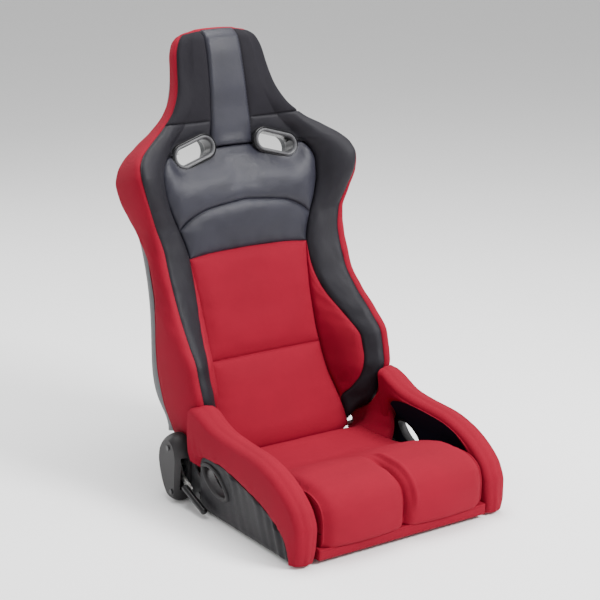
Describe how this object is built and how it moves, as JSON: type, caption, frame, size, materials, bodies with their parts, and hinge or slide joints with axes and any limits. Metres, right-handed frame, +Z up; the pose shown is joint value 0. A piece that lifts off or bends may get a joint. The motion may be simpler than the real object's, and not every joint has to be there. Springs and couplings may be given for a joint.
{
  "type": "racing seat",
  "caption": "Reclining bucket racing seat with padded thigh and shoulder bolsters, harness slots and lap-belt openings, on a bolted steel base frame.",
  "frame": {"origin": "centre of the four mounting bosses, on the plane they stand on", "axes": "+X to the sitter's left, -Y the way the seat faces, +Z up"},
  "size_m": [0.5732, 0.7354, 0.9447],
  "materials": {
    "fabric_red": "woven polyester",
    "leather_black": "soft satin",
    "suede_black": "suede",
    "vinyl_black": "grained satin",
    "lining_fabric": "matte",
    "shell_plastic": "fine texture",
    "trim_plastic": "fine texture",
    "cover_plastic": "fine texture",
    "grip_plastic": "smooth",
    "steel_black": "satin powder coat",
    "steel_zinc": "zinc plated",
    "spring_steel": "oiled"
  },
  "bodies": {
    "base": {"assist_spring_left": "spring_steel", "assist_spring_right": "spring_steel", "belt_bezel_left": "trim_plastic", "belt_bezel_right": "trim_plastic", "belt_lining_left": "lining_fabric", "belt_lining_right": "lining_fabric", "bracket_bolts": "steel_zinc", "cover_screws": "steel_zinc", "cushion_bolster_left": "fabric_red", "cushion_bolster_right": "fabric_red", "fixed_disc_left": "steel_zinc", "fixed_disc_right": "steel_zinc", "front_cross_tube": "steel_black", "mounting_bosses": "steel_black", "pan_bracket_left": "steel_black", "pan_bracket_right": "steel_black", "rear_cross_tube": "steel_black", "recliner_bracket_left": "steel_black", "recliner_bracket_right": "steel_black", "recliner_cover_left": "cover_plastic", "recliner_cover_right": "cover_plastic", "seat_pad": "fabric_red", "seat_pan": "steel_black", "seat_springs": "spring_steel", "shaft_bush_left": "steel_zinc", "shaft_bush_right": "steel_zinc", "side_channel_left": "steel_black", "side_channel_right": "steel_black", "side_panel_left": "vinyl_black", "side_panel_right": "vinyl_black", "thigh_pad_left": "fabric_red", "thigh_pad_right": "fabric_red", "weld_nuts": "steel_zinc"},
    "backrest": {"arch_pad": "leather_black", "back_bolster_left": "fabric_red", "back_bolster_right": "fabric_red", "back_cross_bars": "steel_black", "back_hoop": "steel_black", "back_pad": "fabric_red", "back_shell": "shell_plastic", "back_springs": "spring_steel", "backrest_arm_left": "steel_black", "backrest_arm_right": "steel_black", "harness_bezel_front_left": "trim_plastic", "harness_bezel_front_right": "trim_plastic", "harness_bezel_rear_left": "trim_plastic", "harness_bezel_rear_right": "trim_plastic", "head_pad": "suede_black", "head_strip": "leather_black", "moving_disc_left": "steel_zinc", "moving_disc_right": "steel_zinc", "shell_screws": "steel_zinc", "shoulder_pad": "leather_black"},
    "release": {"release_shaft": "steel_zinc", "release_lever": "steel_zinc", "lever_grip": "grip_plastic"}
  },
  "joints": [
    {"name": "recline", "type": "hinge", "parent": "base", "child": "backrest", "pos_m": [0, 0.145, 0.08], "axis": [-1, 0, 0], "range_deg": [0, 50]},
    {"name": "release_turn", "type": "hinge", "parent": "base", "child": "release", "pos_m": [0, 0.145, 0.08], "axis": [-1, 0, 0], "range_deg": [0, 25], "stiffness_Nm_per_rad": 1.2, "springref_deg": -34.38}
  ]
}
